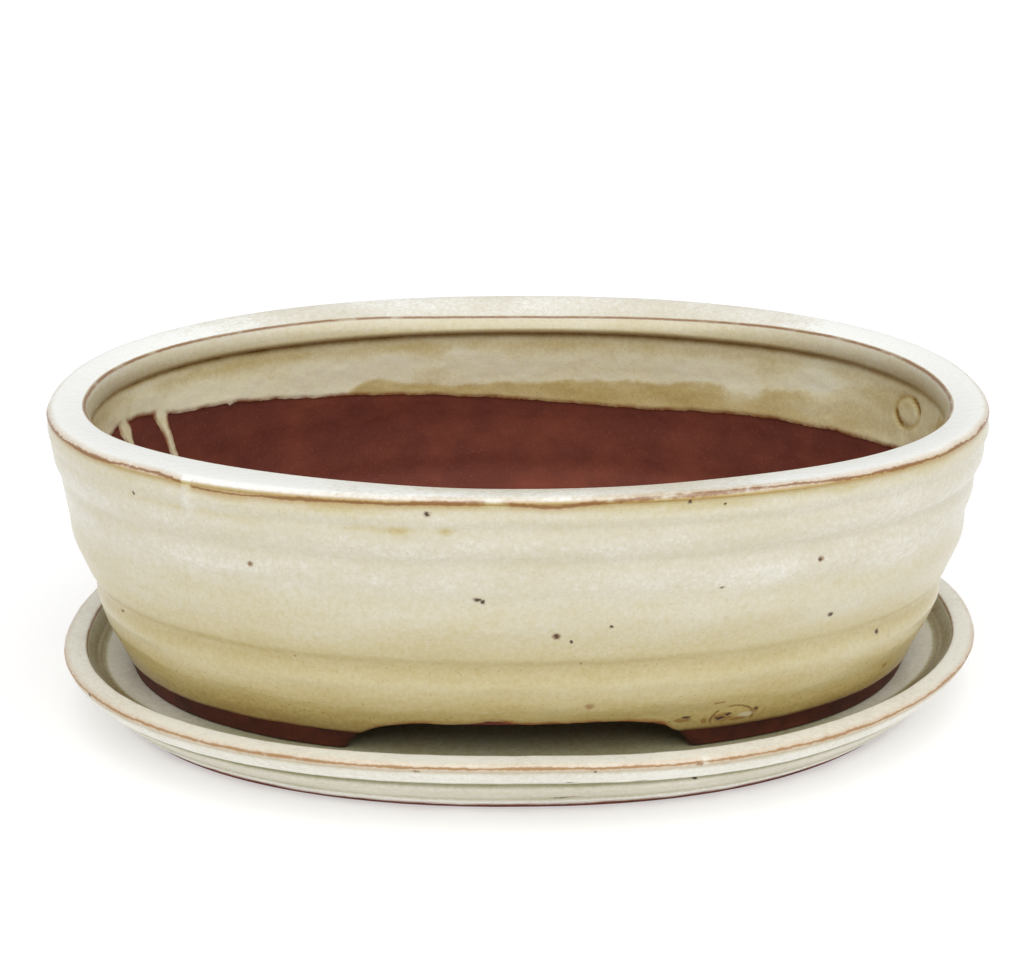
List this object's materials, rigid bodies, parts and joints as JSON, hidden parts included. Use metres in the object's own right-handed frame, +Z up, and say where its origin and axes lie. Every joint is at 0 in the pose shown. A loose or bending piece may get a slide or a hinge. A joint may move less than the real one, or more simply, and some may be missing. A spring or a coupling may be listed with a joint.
{
  "type": "oval bonsai pot with drip tray",
  "caption": "Oval cream-glazed bonsai pot with flared ridged wall, thick inner lip and C-shaped clay feet, standing in a matching shallow drip tray that lifts off.",
  "frame": {"origin": "centre of the overall footprint, on the surface that the tray stands on", "axes": "+X along the pot's length, -Y towards the front, +Z up"},
  "size_m": [0.31, 0.216, 0.1083],
  "materials": {
    "cream_glaze": "gloss",
    "bare_clay": "matte",
    "tray_glaze": "gloss"
  },
  "bodies": {
    "tray": {"drip_tray": "tray_glaze"},
    "pot": {"pot_bowl": "cream_glaze", "foot_left": "bare_clay", "foot_right": "bare_clay"}
  },
  "joints": [
    {"name": "pot_lift", "type": "slide", "parent": "tray", "child": "pot", "axis": [0, 0, 1], "range_m": [0, 0.12]}
  ]
}
